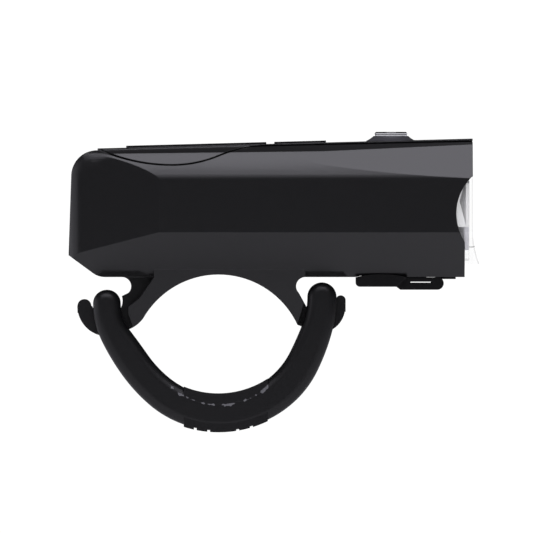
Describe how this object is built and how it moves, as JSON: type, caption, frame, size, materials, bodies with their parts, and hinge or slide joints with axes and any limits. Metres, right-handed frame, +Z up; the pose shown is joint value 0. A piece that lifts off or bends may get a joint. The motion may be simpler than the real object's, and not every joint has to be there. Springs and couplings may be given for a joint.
{
  "type": "bike headlight",
  "caption": "Long faceted handlebar headlight with a clear lens, a push button on top, a hinged cover over its charging socket, and a rubber strap between two hooks under a round saddle.",
  "frame": {"origin": "on the axis of the handlebar that the saddle sits on, midway across the saddle", "axes": "+X forward to the lens, +Y along the handlebar to the rider's left, +Z up"},
  "size_m": [0.0827, 0.029, 0.0604],
  "materials": {
    "housing_black": "satin moulded",
    "cover_black": "satin moulded",
    "seal_rubber": "matt",
    "lens_clear": "clear polycarbonate",
    "reflector_silver": "bright",
    "heat_sink_metal": "brushed",
    "thermal_grey": "matt",
    "circuit_green": "solder mask",
    "board_white": "white mask",
    "led_yellow": "silicone dome",
    "screw_steel": "zinc plated",
    "cell_steel": "nickel plated",
    "sleeve_blue": "shrink film",
    "insulator_white": "fibre paper",
    "tab_nickel": "nickel strip",
    "foam_grey": "closed-cell foam",
    "chip_black": "moulded package",
    "ferrite_grey": "ferrite",
    "ceramic_tan": "ceramic",
    "switch_metal": "stamped",
    "plunger_black": "moulded",
    "indicator_white": "translucent",
    "button_smoke": "smoked translucent silicone",
    "bezel_black": "gloss",
    "socket_steel": "stamped",
    "tongue_black": "moulded",
    "flap_rubber": "satin",
    "strap_rubber": "satin silicone",
    "lead_red": "insulation",
    "lead_black": "insulation",
    "lead_grey": "insulation"
  },
  "bodies": {
    "housing": {"main_housing": "housing_black", "top_cover": "cover_black", "cover_gasket": "seal_rubber", "front_lens": "lens_clear", "lens_gasket": "seal_rubber", "reflector": "reflector_silver", "heat_sink": "heat_sink_metal", "thermal_pad": "thermal_grey", "led_board": "board_white", "led_emitter": "led_yellow", "led_board_screws": "screw_steel", "battery_cell": "cell_steel", "cell_sleeve": "sleeve_blue", "insulator_ring": "insulator_white", "battery_tab_front": "tab_nickel", "battery_tab_rear": "tab_nickel", "battery_foam_rear": "foam_grey", "battery_foam_top": "foam_grey", "main_board": "circuit_green", "board_screws": "screw_steel", "controller_chip": "chip_black", "charge_chip": "chip_black", "inductor": "ferrite_grey", "driver_chip": "chip_black", "capacitors": "ceramic_tan", "tactile_switch": "switch_metal", "status_leds": "indicator_white", "button_bezel": "bezel_black", "usb_board": "circuit_green", "usb_socket_shell": "socket_steel", "usb_socket_tongue": "tongue_black", "flap_anchor": "flap_rubber", "led_lead_red": "lead_red", "led_lead_black": "lead_black", "usb_leads": "lead_grey"},
    "button": {"power_button": "button_smoke", "switch_plunger": "plunger_black"},
    "usb_cover": {"usb_port_cover": "flap_rubber"},
    "strap": {"rubber_strap": "strap_rubber", "strap_front_loop": "strap_rubber"}
  },
  "joints": [
    {"name": "button_press", "type": "slide", "parent": "housing", "child": "button", "axis": [0, 0, -1], "range_m": [0, 0.0005], "stiffness_N_per_m": 400, "springref_m": -0.001},
    {"name": "usb_cover_open", "type": "hinge", "parent": "housing", "child": "usb_cover", "pos_m": [0.044, 0, 0.01575], "axis": [0, -1, 0], "range_deg": [0, 100]},
    {"name": "strap_swing", "type": "hinge", "parent": "housing", "child": "strap", "pos_m": [-0.0225, 0, 0.0117], "axis": [0, 1, 0], "range_deg": [0, 95], "deforming": ["strap_front_loop"]}
  ]
}
